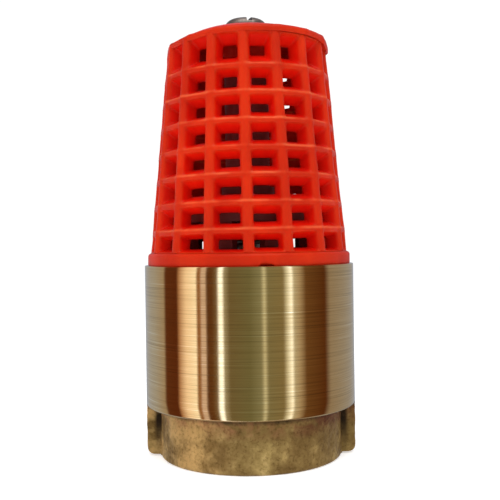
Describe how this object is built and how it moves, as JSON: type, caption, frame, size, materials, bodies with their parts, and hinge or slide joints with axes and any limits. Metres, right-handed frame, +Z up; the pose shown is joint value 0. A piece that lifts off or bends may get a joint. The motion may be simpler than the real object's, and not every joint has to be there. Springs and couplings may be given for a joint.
{
  "type": "foot valve",
  "caption": "Brass foot valve with a tapered plastic strainer, a spring-loaded poppet and a female pipe-thread outlet.",
  "frame": {"origin": "centre of the outlet face, at the foot of the valve as it stands", "axes": "+Z up along the valve's axis from the outlet thread towards the strainer's cap; the two wrench lugs are on +X and -X"},
  "size_m": [0.047, 0.047, 0.0983],
  "materials": {
    "body_brass": "turned above, as cast on the collar",
    "inner_brass": "machined",
    "red_plastic": "moulded, satin",
    "black_nylon": "moulded, satin",
    "zinc_steel": "zinc plated, dull",
    "stainless_steel": "turned",
    "spring_steel": "drawn wire and stampings",
    "seal_rubber": "moulded nitrile rubber",
    "gasket_fibre": "pressed sealing sheet"
  },
  "bodies": {
    "valve": {"valve_body": "body_brass", "seat_gasket": "gasket_fibre", "seat_bush": "inner_brass", "guide_cage": "black_nylon", "cage_insert": "inner_brass", "cage_retaining_ring": "spring_steel", "strainer_basket": "red_plastic", "strainer_cap": "red_plastic", "spacer_tube": "black_nylon", "screw_washer": "zinc_steel", "cap_screw": "zinc_steel", "return_spring": "spring_steel"},
    "poppet": {"poppet_disc": "inner_brass", "poppet_seal": "seal_rubber", "seal_plate": "inner_brass", "poppet_stem": "stainless_steel", "stem_washer": "stainless_steel", "stem_nut": "stainless_steel", "spring_retainer": "inner_brass", "stem_clip": "spring_steel"}
  },
  "joints": [
    {"name": "poppet_lift", "type": "slide", "parent": "valve", "child": "poppet", "axis": [0, 0, -1], "range_m": [0, 0.006], "stiffness_N_per_m": 150, "springref_m": -0.01, "deforming": ["return_spring"]}
  ]
}
